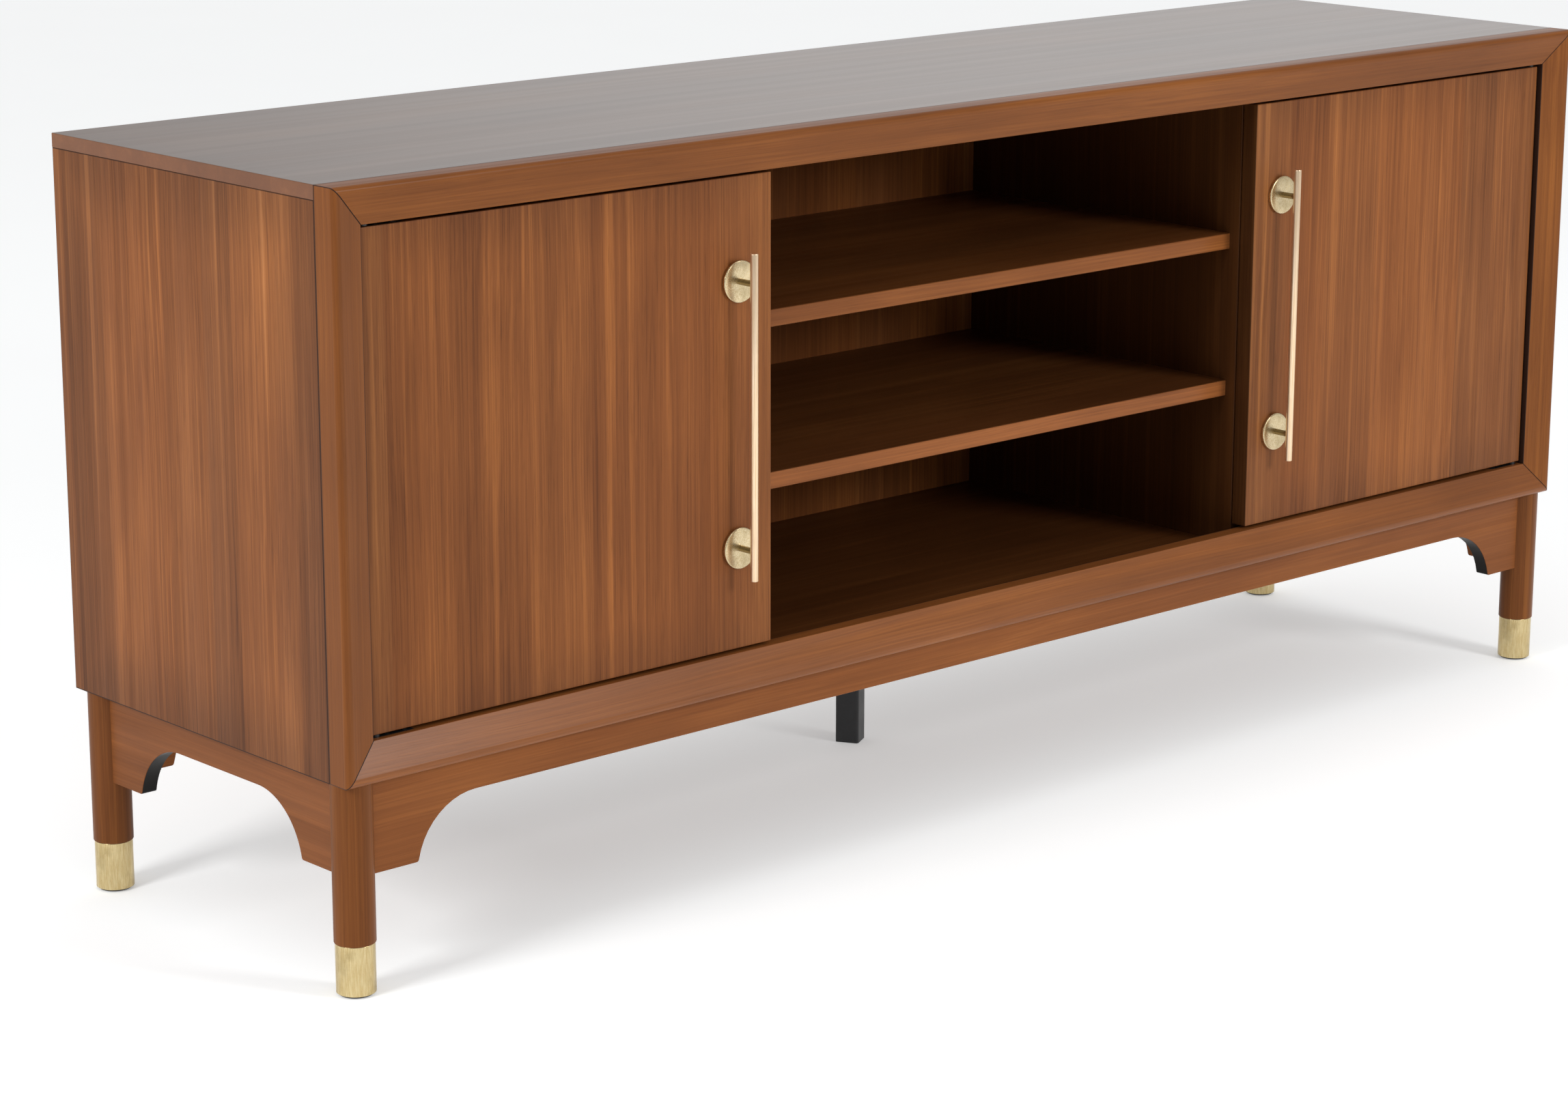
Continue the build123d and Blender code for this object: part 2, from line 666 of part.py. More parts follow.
for name, side in SIDES.items():
    save(f"{name}_side_panel", side_panel(side, screws[name + "_side"]))
    save(f"{name}_partition", partition(side, screws[name + "_partition"]))
    save(f"frame_{name}_stile", stile(side))
    save(f"{name}_cabinet_shelf", cabinet_shelf(side))
    save(f"{name}_strike_plate", strike_plate(side))
    save(f"{name}_door", door(side))
    save(f"{name}_handle_bar", handle_bar(side))
    save(f"{name}_handle_posts", [handle_post(side, level) for level in POST_LEVELS])
    save(f"{name}_handle_rosettes", [rosette(side, level) for level in POST_LEVELS])
    save(f"{name}_handle_screws", [handle_screw(side, level) for level in POST_LEVELS])
    save(f"{name}_door_hinge_screws", [
        screw for end in (-1, 1) for screw in leaf_screws(side, end, in_door=True)
    ])
    for place, end in (("bottom", -1), ("top", 1)):
        save(f"{name}_{place}_hinge_frame_leaf", frame_leaf(side, end))
        save(f"{name}_{place}_hinge_door_leaf", door_leaf(side, end))
    save(f"{name}_apron", end_apron(side))
    for place, end in ENDS.items():
        save(f"{place}_{name}_leg", leg(side, end, leg_bolt(side, end)))
        save(f"{place}_{name}_ferrule", ferrule(side, end))

save("shelf_pins", [pin for side in SIDES.values() for pin in shelf_pins(side)])
save("magnetic_catches", [catch(side) for side in SIDES.values()])
save("front_apron", long_apron(-1))
save("back_apron", long_apron(1))
save("foot_glides", [foot_glide(side, end) for side, end in corners])
save("corner_blocks", [corner_block(side, end) for side, end in corners])
save("leg_bolts", [leg_bolt(side, end) for side, end in corners])
save("leg_bolt_nuts", [bolt_nut(side, end) for side, end in corners])
save("base_screws", [*base_screws, *plate_screws()])
save("center_leg", center_leg())
save("center_leg_plate", center_leg_plate())
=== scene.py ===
"""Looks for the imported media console: procedural materials, turned pieces and a studio."""

import math

import bmesh
import bpy
from mathutils import Matrix, Vector


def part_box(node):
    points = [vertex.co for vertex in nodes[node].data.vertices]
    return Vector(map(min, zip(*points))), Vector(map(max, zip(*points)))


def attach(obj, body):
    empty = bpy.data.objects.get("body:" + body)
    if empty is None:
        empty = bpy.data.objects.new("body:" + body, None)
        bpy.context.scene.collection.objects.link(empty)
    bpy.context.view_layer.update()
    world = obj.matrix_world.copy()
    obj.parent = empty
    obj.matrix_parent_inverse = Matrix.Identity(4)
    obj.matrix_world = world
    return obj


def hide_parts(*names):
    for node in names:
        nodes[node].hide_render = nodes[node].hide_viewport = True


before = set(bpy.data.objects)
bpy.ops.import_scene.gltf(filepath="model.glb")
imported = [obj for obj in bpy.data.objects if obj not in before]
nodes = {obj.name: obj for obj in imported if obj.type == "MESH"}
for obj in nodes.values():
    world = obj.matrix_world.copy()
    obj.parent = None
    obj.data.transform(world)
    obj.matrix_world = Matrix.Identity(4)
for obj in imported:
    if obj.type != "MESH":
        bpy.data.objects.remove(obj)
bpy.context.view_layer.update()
case_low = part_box("frame_bottom_rail")[0]
case_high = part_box("top_panel")[1]
frame_width = case_high.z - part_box("frame_top_rail")[0].z

MM = 0.001
SIDES = ("left", "right")
ENDS = ("front", "back")
AXES = "XYZ"


# ---- material helpers ---------------------------------------------------------------------
class Paint:
    """A node material under construction; object coordinates are the row frame at rest."""

    def __init__(self, name):
        self.material = bpy.data.materials.new(name)
        self.material.use_nodes = True
        self.tree = self.material.node_tree
        self.tree.nodes.clear()
        output = self.tree.nodes.new("ShaderNodeOutputMaterial")
        self.shader = self.tree.nodes.new("ShaderNodeBsdfPrincipled")
        self.link(self.shader.outputs[0], output.inputs["Surface"])
        self.position = self.tree.nodes.new("ShaderNodeTexCoord").outputs["Object"]
        self.axis = dict(zip(AXES, self.split(self.position)))

    def link(self, source, target):
        self.tree.links.new(source, target)

    def feed(self, socket, value):
        """Link a node output into a socket, or set a plain value on it."""
        if isinstance(value, bpy.types.NodeSocket):
            self.link(value, socket)
        elif value is not None:
            socket.default_value = value

    def make(self, kind, inputs, output=0, **settings):
        node = self.tree.nodes.new(kind)
        for key, value in settings.items():
            setattr(node, key, value)
        for key, value in inputs.items():
            self.feed(node.inputs[key], value)
        return node.outputs[output]

    def math(self, operation, a, b=None, c=None):
        inputs = {i: v for i, v in enumerate((a, b, c)) if v is not None}
        return self.make("ShaderNodeMath", inputs, operation=operation)

    def combine(self, x, y, z):
        return self.make("ShaderNodeCombineXYZ", {0: x, 1: y, 2: z})

    def split(self, vector):
        node = self.tree.nodes.new("ShaderNodeSeparateXYZ")
        self.link(vector, node.inputs[0])
        return list(node.outputs)

    def scaled(self, vector, factors):
        return self.make(
            "ShaderNodeVectorMath", {0: vector, 1: factors}, operation="MULTIPLY"
        )

    def added(self, a, b):
        return self.make("ShaderNodeVectorMath", {0: a, 1: b}, operation="ADD")

    def noise(self, vector, scale=1.0, detail=2.0, roughness=0.5, distortion=0.0):
        inputs = {
            "Vector": vector,
            "Scale": scale,
            "Detail": detail,
            "Roughness": roughness,
            "Distortion": distortion,
        }
        return self.make("ShaderNodeTexNoise", inputs, "Fac")

    def remap(self, value, low, high, to_low=0.0, to_high=1.0, smooth=True):
        inputs = {0: value, 1: low, 2: high, 3: to_low, 4: to_high}
        kind = "SMOOTHSTEP" if smooth else "LINEAR"
        return self.make("ShaderNodeMapRange", inputs, interpolation_type=kind)

    def ramp(self, value, stops):
        node = self.tree.nodes.new("ShaderNodeValToRGB")
        elements = node.color_ramp.elements
        while len(elements) < len(stops):
            elements.new(0.5)
        for element, (place, colour) in zip(elements, stops):
            element.position = place
            element.color = (*colour, 1.0)
        self.link(value, node.inputs[0])
        return node.outputs[0]

    def mix(self, factor, a, b, blend="MIX"):
        node = self.tree.nodes.new("ShaderNodeMix")
        node.data_type = "RGBA"
        node.blend_type = blend
        for index, value in ((0, factor), (6, a), (7, b)):
            if isinstance(value, tuple):
                value = (*value, 1.0)
            self.feed(node.inputs[index], value)
        return node.outputs[2]

    def grey(self, value):
        """A grey colour of a 0 to 1 value, for multiplying."""
        return self.make("ShaderNodeCombineColor", {0: value, 1: value, 2: value})

    def bump(self, height, distance, strength=1.0):
        inputs = {"Height": height, "Distance": distance, "Strength": strength}
        self.link(self.make("ShaderNodeBump", inputs), self.shader.inputs["Normal"])

    def set(self, **values):
        for key, value in values.items():
            self.feed(self.shader.inputs[key.replace("_", " ")], value)
        return self.material


# ---- wood ---------------------------------------------------------------------------------
WALNUT = (
    (0.10, (0.112, 0.036, 0.011)),
    (0.45, (0.212, 0.071, 0.020)),
    (0.70, (0.315, 0.112, 0.030)),
    (0.98, (0.450, 0.180, 0.056)),
)
MEAN_LEVEL = 0.44                  # of the figure on that scale
GAP_SHADE = (0.030, 0.014, 0.009)      # painted shade: the near-black line for the shadow in the gaps at joints and on arrises
OUTLINE_DARKENING = (0.40, 0.44, 0.60)       # near a board's outline the colour is multiplied by this
SAWN_SHADE = (0.011, 0.010, 0.009)
# The streaks, widest first: their number in a metre across and along the grain, the noise's
# detail and roughness, and how much they add to the figure.
STREAKS = {
    "bands": (11.0, 0.4, 1.0, 0.50, 0.42),
    "strips": (52.0, 0.6, 2.0, 0.55, 0.44),
    "lines": (210.0, 1.1, 3.0, 0.65, 0.54),
    "threads": (640.0, 5.0, 2.0, 0.50, 0.66),
}
LEAF_START = 3.1
LEAF_RANDOMNESS = 0.85
LEAF_SHARE = 0.22
GOLD_SHARE = 0.24
CLOUD_SHARE = 0.50
VEIN_DEPTH = 0.14
PORE_DEPTH = 0.30
WANDER = 0.016                     # metres that the fibres stray sideways
GRAIN_RELIEF = 0.00010


def wood(
    name,
    grain,
    lateral,
    flitch=0.06,
    figure=1.0,
    tone=1.0,
    tint=(1.0, 1.0, 1.0),
    seed=0.0,
    edges=None,
    edge_shade=0.45,
    edge_width=0.06,
    edge_line=0.0,
    sides=None,
    dark_cuts=None,
    joints=False,
    roughness=(0.32, 0.46),
    gloss=0.11,
    coat=0.0,
    coat_roughness=0.22,
    relief=0.5,
):
    """Stained walnut. grain is the axis the fibres run along, lateral the one the veneer
    leaves are laid along, flitch their mean width and figure the contrast of the streaks;
    tone and tint multiply the colour; joints paints shade lines in the gaps at the joints of
    the front frame, and dark_cuts shades the sawn edges of an apron that faces along the axis
    it names; edges, two corners of the board, makes the colour darker and greyer along its
    outline, edge_shade deep and edge_width wide, and edge_line is the width of the painted
    shade line on its arris; sides is the tone of the four narrow sides of a flat board where
    it differs from that of its faces: painted light where it is higher, painted shade where lower."""
    p = Paint(name)
    long_axis, side_axis = AXES.index(grain), AXES.index(lateral)

    def stretched(point, across, along, detail=1.0, roughness=0.5):
        """Noise drawn out along the grain; across and along count its features in a metre."""
        factors = [across] * 3
        factors[long_axis] = along
        return p.noise(p.scaled(point, tuple(factors)), detail=detail, roughness=roughness)

    leaves = {
        "W": p.math("ADD", p.axis[lateral], LEAF_START + seed),
        "Scale": 1.0 / flitch,
        "Randomness": LEAF_RANDOMNESS,
    }
    leaf = p.make("ShaderNodeTexVoronoi", leaves, "Color", voronoi_dimensions="1D")
    leaf_value, leaf_hue, leaf_shift = p.split(leaf)

    # The fibres wander sideways a little along their length, differently in each leaf.
    shift = p.combine(*(leaf_shift if i == long_axis else seed for i in range(3)))
    place = p.added(p.position, shift)
    wander = stretched(place, 5.0, 1.6, detail=2.0)
    drift = p.math("MULTIPLY", p.math("SUBTRACT", wander, 0.5), WANDER)
    offset = p.combine(*(drift if i != long_axis else 0.0 for i in range(3)))
    place = p.added(place, offset)

    streaks = {kind: stretched(place, *numbers[:4]) for kind, numbers in STREAKS.items()}
    gold = stretched(place, 95.0, 0.45)
    pores = stretched(place, 1250.0, 30.0)
    veins = stretched(place, 21.0, 0.35, detail=3.0)
    clouds = stretched(place, 9.0, 3.5, detail=2.0)

    def spread(value, amount):
        return p.math("MULTIPLY", p.math("SUBTRACT", value, 0.5), amount)

    shares = [spread(streaks[kind], figure * numbers[4]) for kind, numbers in STREAKS.items()]
    shares.append(spread(leaf_value, figure * LEAF_SHARE))
    shares.append(p.remap(gold, 0.58, 0.70, 0.0, figure * GOLD_SHARE))
    shares.append(spread(clouds, CLOUD_SHARE))
    level = MEAN_LEVEL
    for share in shares:
        level = p.math("ADD", level, share)
    colour = p.ramp(level, WALNUT)

    # Thin darker veins, the open pores, and each leaf a touch redder or yellower.
    vein_line = p.math("ABSOLUTE", p.math("SUBTRACT", veins, 0.5))
    vein = p.remap(vein_line, 0.0, 0.010, 1.0 - VEIN_DEPTH * figure, 1.0)
    colour = p.mix(1.0, colour, p.grey(vein), "MULTIPLY")
    pore = p.remap(pores, 0.30, 0.42, 1.0 - PORE_DEPTH, 1.0)
    colour = p.mix(0.7 * figure, colour, p.grey(pore), "MULTIPLY")
    warm = p.mix(leaf_hue, (0.95, 1.0, 1.08), (1.05, 0.99, 0.92))
    colour = p.mix(figure * 0.8, colour, p.mix(1.0, colour, warm, "MULTIPLY"))
    overall = tuple(tone * channel for channel in tint)
    if sides is not None:
        normal = p.split(p.tree.nodes.new("ShaderNodeTexCoord").outputs["Normal"])
        side = p.remap(p.math("ABSOLUTE", normal[3 - long_axis - side_axis]), 0.80, 0.45)
        overall = p.mix(side, overall, (sides, sides, sides))
        if coat:
            coat = p.math("MULTIPLY", p.math("SUBTRACT", 1.0, side), coat)
    colour = p.mix(1.0, colour, overall, "MULTIPLY")

    if edges is not None:
        shading = (edge_shade, edge_width, edge_line)
        colour = edge_shading(p, colour, edges, shading, (long_axis, side_axis))
    if dark_cuts is not None:
        colour = p.mix(cut_faces(p, dark_cuts), colour, SAWN_SHADE)
    if joints:
        # Painted shade in the gaps of the front frame's joints.
        colour = p.mix(joint_lines(p), colour, GAP_SHADE)

    shine = p.remap(streaks["strips"], 0.3, 0.7, roughness[1], roughness[0])
    ridges = p.math("MULTIPLY", streaks["threads"], 0.6)
    p.bump(p.math("ADD", ridges, pore), GRAIN_RELIEF, relief)
    return p.set(
        Base_Color=colour, Roughness=shine, Specular_IOR_Level=gloss, Coat_Weight=coat,
        Coat_Roughness=coat_roughness,
    )


def edge_shading(p, colour, edges, shading, axes):
    """The colour, darker and greyer near the board's outline, with painted shade on its arris."""
    amount, width, line = shading
    nearest = None
    for i in axes:
        for sign, limit in ((1, edges[0][i]), (-1, edges[1][i])):
            distance = p.math("MULTIPLY", p.math("SUBTRACT", p.axis[AXES[i]], limit), sign)
            nearest = distance if nearest is None else p.math("MINIMUM", nearest, distance)
    cloud = p.noise(p.position, scale=7.0, detail=2.0)
    drifted = p.math("ADD", nearest, p.math("MULTIPLY", p.math("SUBTRACT", cloud, 0.5), 0.03))
    shade = p.remap(drifted, -0.004, width, amount, 0.0)
    colour = p.mix(shade, colour, p.mix(1.0, colour, OUTLINE_DARKENING, "MULTIPLY"))
    # Painted shade: a near-black line on the arris, for the shadow in the gap beside it.
    if line:
        normal = p.tree.nodes.new("ShaderNodeTexCoord").outputs["Normal"]
        face = p.remap(p.math("ABSOLUTE", p.split(normal)[3 - sum(axes)]), 0.5, 0.9)
        arris = p.math("MULTIPLY", face, p.remap(nearest, line, 1.5 * line, 1.0, 0.0))
        colour = p.mix(arris, colour, GAP_SHADE)
    return colour


def joint_lines(p):
    """1 where shade is painted into the gaps of the front frame's joints: its four mitres, the
    seam behind it and the arris round its opening."""
    across, height = p.math("ABSOLUTE", p.axis["X"]), p.axis["Z"]
    from_side = p.math("SUBTRACT", case_high.x, across)
    from_end = p.math(
        "MINIMUM", p.math("SUBTRACT", case_high.z, height), p.math("SUBTRACT", height, case_low.z)
    )
    mitre = p.math("ABSOLUTE", p.math("SUBTRACT", from_side, from_end))
    seam = p.math("SUBTRACT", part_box("frame_top_rail")[1].y, p.axis["Y"])
    seam = p.math("MULTIPLY", seam, 0.5)
    arris = p.math("ABSOLUTE", p.math("SUBTRACT", frame_width, from_side))
    beyond = p.math("MAXIMUM", p.math("SUBTRACT", frame_width, from_end), 0.0)
    arris = p.math("ADD", arris, p.math("MULTIPLY", beyond, 100.0))
    nearest = p.math("MINIMUM", p.math("MINIMUM", mitre, seam), arris)
    return p.remap(nearest, 0.5 * MM, 1.0 * MM, 1.0, 0.0)


def cut_faces(p, face_axis):
    """1 on the sawn, downward-facing edges of an apron, whose face looks along face_axis."""
    normal = p.tree.nodes.new("ShaderNodeTexCoord").outputs["Normal"]
    parts = dict(zip(AXES, p.split(normal)))
    not_face = p.remap(p.math("ABSOLUTE", parts[face_axis]), 0.72, 0.35)
    downward = p.remap(parts["Z"], 0.9, 0.5)
    return p.math("MULTIPLY", not_face, downward)


def bare_wood(name, grain):
    p = Paint(name)
    factors = [60.0] * 3
    factors[AXES.index(grain)] = 2.0
    streaks = p.noise(p.scaled(p.position, tuple(factors)), detail=4.0, roughness=0.6)
    colour = p.ramp(
        streaks, [(0.3, (0.36, 0.22, 0.11)), (0.55, (0.52, 0.36, 0.20)), (0.75, (0.60, 0.45, 0.27))]
    )
    rough = p.remap(streaks, 0.3, 0.7, 0.75, 0.6)
    p.bump(streaks, 0.0004, 0.5)
    return p.set(Base_Color=colour, Roughness=rough)


# ---- metal and plastic --------------------------------------------------------------------
BRASS_MID = (0.82, 0.76, 0.64)
BRASS_DARK = (0.36, 0.31, 0.21)


def brass(name, pale, turned, scale=(900.0, 900.0, 900.0), worn=0.5, rough=(0.18, 0.30)):
    """Satin brass with the fine lines of brushing; pale is its lightest colour, turned the
    axis it was spun on and worn the strength of the tarnish."""
    p = Paint(name)
    lines = p.noise(p.scaled(p.position, scale), detail=3.0, roughness=0.65)
    cloud = p.noise(p.position, scale=45.0, detail=3.0)
    mid = tuple(channel * part for channel, part in zip(pale, BRASS_MID))
    dark = tuple(channel * part for channel, part in zip(pale, BRASS_DARK))
    colour = p.mix(p.remap(lines, 0.3, 0.7), pale, mid)
    tarnish = p.remap(cloud, 0.45, 0.80, 0.0, worn)
    colour = p.mix(tarnish, colour, dark)
    shine = p.math("ADD", p.remap(lines, 0.3, 0.7, *rough), p.math("MULTIPLY", tarnish, 0.08))
    p.bump(lines, 0.00004, 0.5)
    tangent = p.make("ShaderNodeTangent", {}, direction_type="RADIAL", axis=turned)
    p.link(tangent, p.shader.inputs["Tangent"])
    return p.set(Base_Color=colour, Metallic=1.0, Roughness=shine, Anisotropic=0.65)


def coated_metal(name, colour, worn, rough, scale=700.0, metallic=0.0):
    """Powder coat or zinc: a fine orange-peel texture with slight cloudy wear."""
    p = Paint(name)
    peel = p.noise(p.position, scale=scale, detail=2.0)
    cloud = p.noise(p.position, scale=30.0, detail=4.0, roughness=0.6)
    mixed = p.mix(p.remap(cloud, 0.42, 0.75), colour, worn)
    mixed = p.mix(p.remap(peel, 0.4, 0.7, 0.0, 0.3), mixed, worn)
    p.bump(peel, 0.00008, 0.6)
    return p.set(Base_Color=mixed, Metallic=metallic, Roughness=p.remap(cloud, 0.3, 0.7, *rough))


def assign(piece, material):
    """Give every material slot of a piece, or its one new slot, this material."""
    if not piece.material_slots:
        piece.data.materials.append(material)
    for entry in piece.material_slots:
        entry.link = "OBJECT"
        entry.material = material


def board_edges(*names):
    """The box around some boards, as two corners."""
    boxes = [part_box(name) for name in names]
    low = [min(b[0][i] for b in boxes) for i in range(3)]
    high = [max(b[1][i] for b in boxes) for i in range(3)]
    return low, high


# ---- shapes -------------------------------------------------------------------------------
NO_TURN = Matrix.Identity(4)
SHARP = math.radians(35)           # edges that bend more than this stay sharp


def piece_from(name, bm, body, stands_for, material, origin=(0, 0, 0), turn=NO_TURN):
    """A finished piece from a bmesh, turned and then moved to origin."""
    bmesh.ops.recalc_face_normals(bm, faces=bm.faces)
    for face in bm.faces:
        face.smooth = True
    for edge in bm.edges:
        if len(edge.link_faces) == 2 and edge.calc_face_angle(0.0) > SHARP:
            edge.smooth = False
    mesh = bpy.data.meshes.new(name)
    bm.to_mesh(mesh)
    bm.free()
    piece = bpy.data.objects.new(name, mesh)
    bpy.context.scene.collection.objects.link(piece)
    piece.matrix_world = Matrix.Translation(origin) @ turn
    assign(piece, material)
    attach(piece, body)
    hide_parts(*stands_for)
    return piece


def arc(centre, radius, start, end, steps=6):
    """Points of a circular arc, angles in degrees."""
    points = []
    for i in range(steps + 1):
        angle = math.radians(start + (end - start) * i / steps)
        points.append((centre[0] + radius * math.cos(angle), centre[1] + radius * math.sin(angle)))
    return points


def turned_mesh(profile, segments=72, closed=False, bm=None, axis=(0.0, 0.0)):
    """A bmesh of a profile of (radius, height) points turned round an upright axis. An open
    profile starts and ends on the axis; a closed one is a tube's wall."""
    bm = bm or bmesh.new()
    rings = []
    for radius, height in profile:
        ring = []
        for i in range(segments if radius > 0 else 1):
            angle = 2 * math.pi * i / segments
            x = axis[0] + radius * math.cos(angle)
            y = axis[1] + radius * math.sin(angle)
            ring.append(bm.verts.new((x, y, height)))
        rings.append(ring)
    pairs = list(zip(rings, rings[1:]))
    if closed:
        pairs.append((rings[-1], rings[0]))
    for a, b in pairs:
        for i in range(segments):
            j = (i + 1) % segments
            if len(a) == 1 and len(b) > 1:
                bm.faces.new((a[0], b[i], b[j]))
            elif len(b) == 1 and len(a) > 1:
                bm.faces.new((a[i], a[j], b[0]))
            elif len(a) > 1:
                bm.faces.new((a[i], a[j], b[j], b[i]))
    return bm


def centre_of(node):
    low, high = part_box(node)
    return (low + high) / 2


# ---- legs and feet ------------------------------------------------------------------------
foot_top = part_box("front_left_ferrule")[1].z
foot_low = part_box("front_left_ferrule")[0].z
ferrule_radius = (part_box("front_left_ferrule")[1].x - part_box("front_left_ferrule")[0].x) / 2
leg_radius = (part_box("front_left_leg")[1].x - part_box("front_left_leg")[0].x) / 2
leg_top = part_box("front_left_leg")[1].z
tenon_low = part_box("front_left_leg")[0].z
TENON_RADIUS = 17.6 * MM
LEG_ARRIS = 0.8 * MM
FERRULE_ARRIS = 0.7 * MM

leg_profile = [
    (0, tenon_low),
    (TENON_RADIUS, tenon_low),
    (TENON_RADIUS, foot_top),
    *arc((leg_radius - LEG_ARRIS, foot_top + LEG_ARRIS), LEG_ARRIS, -90, 0, 4),
    (leg_radius, leg_top),
    (0, leg_top),
]
ferrule_profile = [
    (TENON_RADIUS, foot_low),
    *arc((ferrule_radius - FERRULE_ARRIS, foot_low + FERRULE_ARRIS), FERRULE_ARRIS, -90, 0, 4),
    *arc((ferrule_radius - FERRULE_ARRIS, foot_top - FERRULE_ARRIS), FERRULE_ARRIS, 0, 90, 4),
    (TENON_RADIUS, foot_top),
]
leg_brass = brass(
    "brass_ferrule", (0.66, 0.54, 0.30), "Z", scale=(700.0, 700.0, 60.0)
)

for end in ENDS:
    for side in SIDES:
        name = f"{end}_{side}"
        axis = centre_of(name + "_ferrule")
        axis.z = 0
        leg_wood = wood(
            name + "_leg_walnut", "Z", "X", flitch=0.5, figure=0.6, tone=0.68,
            tint=(1.0, 0.95, 0.80), seed=0.37 * (1 + ENDS.index(end)) + 0.9 * SIDES.index(side),
        )
        piece_from(
            name + "_turned_leg", turned_mesh(leg_profile), "case",
            [name + "_leg"], leg_wood, axis,
        )
        piece_from(
            name + "_brass_ferrule", turned_mesh(ferrule_profile, closed=True), "case",
            [name + "_ferrule"], leg_brass, axis,
        )

# ---- handles ------------------------------------------------------------------------------
bar_brass = brass(
    "brass_bar", (0.94, 0.73, 0.53), "Z", scale=(900.0, 900.0, 14.0), worn=0.1, rough=(0.30, 0.38)
)
# The posts' darker brass is painted shade, for the shadow they stand in behind the bar.
shaded_post_brass = brass("brass_post", (0.36, 0.29, 0.17), "Z", scale=(900.0, 900.0, 40.0))
disc_brass = brass("brass_rosette", (0.66, 0.55, 0.36), "Z", rough=(0.22, 0.34))
BAR_ARRIS = 0.8 * MM
RIM = 1.2 * MM
DISH = 0.05 * MM                   # the rosette's face is lower by this at its post
TO_MINUS_Y = Matrix.Rotation(math.radians(90), 4, "X")

for side in SIDES:
    door_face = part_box(f"{side}_door")[0].y
    bar_low, bar_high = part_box(f"{side}_handle_bar")
    bar_radius = (bar_high.x - bar_low.x) / 2
    bar_centre = centre_of(f"{side}_handle_bar")
    half = (bar_high.z - bar_low.z) / 2
    bar_profile = [
        (0, -half),
        *arc((bar_radius - BAR_ARRIS, -half + BAR_ARRIS), BAR_ARRIS, -90, 0, 4),
        *arc((bar_radius - BAR_ARRIS, half - BAR_ARRIS), BAR_ARRIS, 0, 90, 4),
        (0, half),
    ]
    piece_from(
        f"{side}_brass_bar", turned_mesh(bar_profile, 40), f"{side}_door",
        [f"{side}_handle_bar"], bar_brass, bar_centre,
    )
    post_low, post_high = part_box(f"{side}_handle_posts")
    disc_low, disc_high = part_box(f"{side}_handle_rosettes")
    disc_radius = (disc_high.x - disc_low.x) / 2
    disc_depth = disc_high.y - disc_low.y
    post_radius = (post_high.x - post_low.x) / 2
    reach = door_face - bar_centre.y
    levels = {"lower": disc_low.z + disc_radius, "upper": disc_high.z - disc_radius}
    disc_profile = [
        (post_radius, 0.0),
        (disc_radius, 0.0),
        *arc((disc_radius - RIM, disc_depth - RIM), RIM, 0, 90, 5),
        (disc_radius * 0.55, disc_depth - 0.4 * DISH),
        (post_radius, disc_depth - DISH),
    ]
    post_profile = [(0, 0.0), (post_radius, 0.0), (post_radius, reach), (0, reach)]
    for place, level in levels.items():
        foot = Vector((bar_centre.x, door_face, level))
        for kind, profile, closed, material in (
            ("rosette", disc_profile, True, disc_brass),
            ("post", post_profile, False, shaded_post_brass),
        ):
            bm = turned_mesh(profile, 64, closed)
            node = f"{side}_handle_{kind}s"
            piece_from(
                f"{side}_brass_{kind}_{place}", bm, f"{side}_door", [node], material,
                foot, TO_MINUS_Y,
            )

# ---- feet ---------------------------------------------------------------------------------
glide = coated_metal("glide_nylon", (0.020, 0.020, 0.021), (0.045, 0.043, 0.040), (0.5, 0.65))
GLIDE_RADIUS = 16.5 * MM
GLIDE_ARRIS = 0.6 * MM
glide_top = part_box("foot_glides")[1].z
glide_profile = [
    (0, 0),
    (GLIDE_RADIUS - GLIDE_ARRIS, 0),
    (GLIDE_RADIUS, GLIDE_ARRIS),
    (GLIDE_RADIUS, foot_low),
    (TENON_RADIUS, foot_low),
    (TENON_RADIUS, glide_top),
    (0, glide_top),
]
glide_mesh = bmesh.new()
for end in ENDS:
    for side in SIDES:
        axis = centre_of(f"{end}_{side}_ferrule")
        turned_mesh(glide_profile, 48, bm=glide_mesh, axis=(axis.x, axis.y))
piece_from("nylon_foot_glides", glide_mesh, "case", ["foot_glides"], glide)

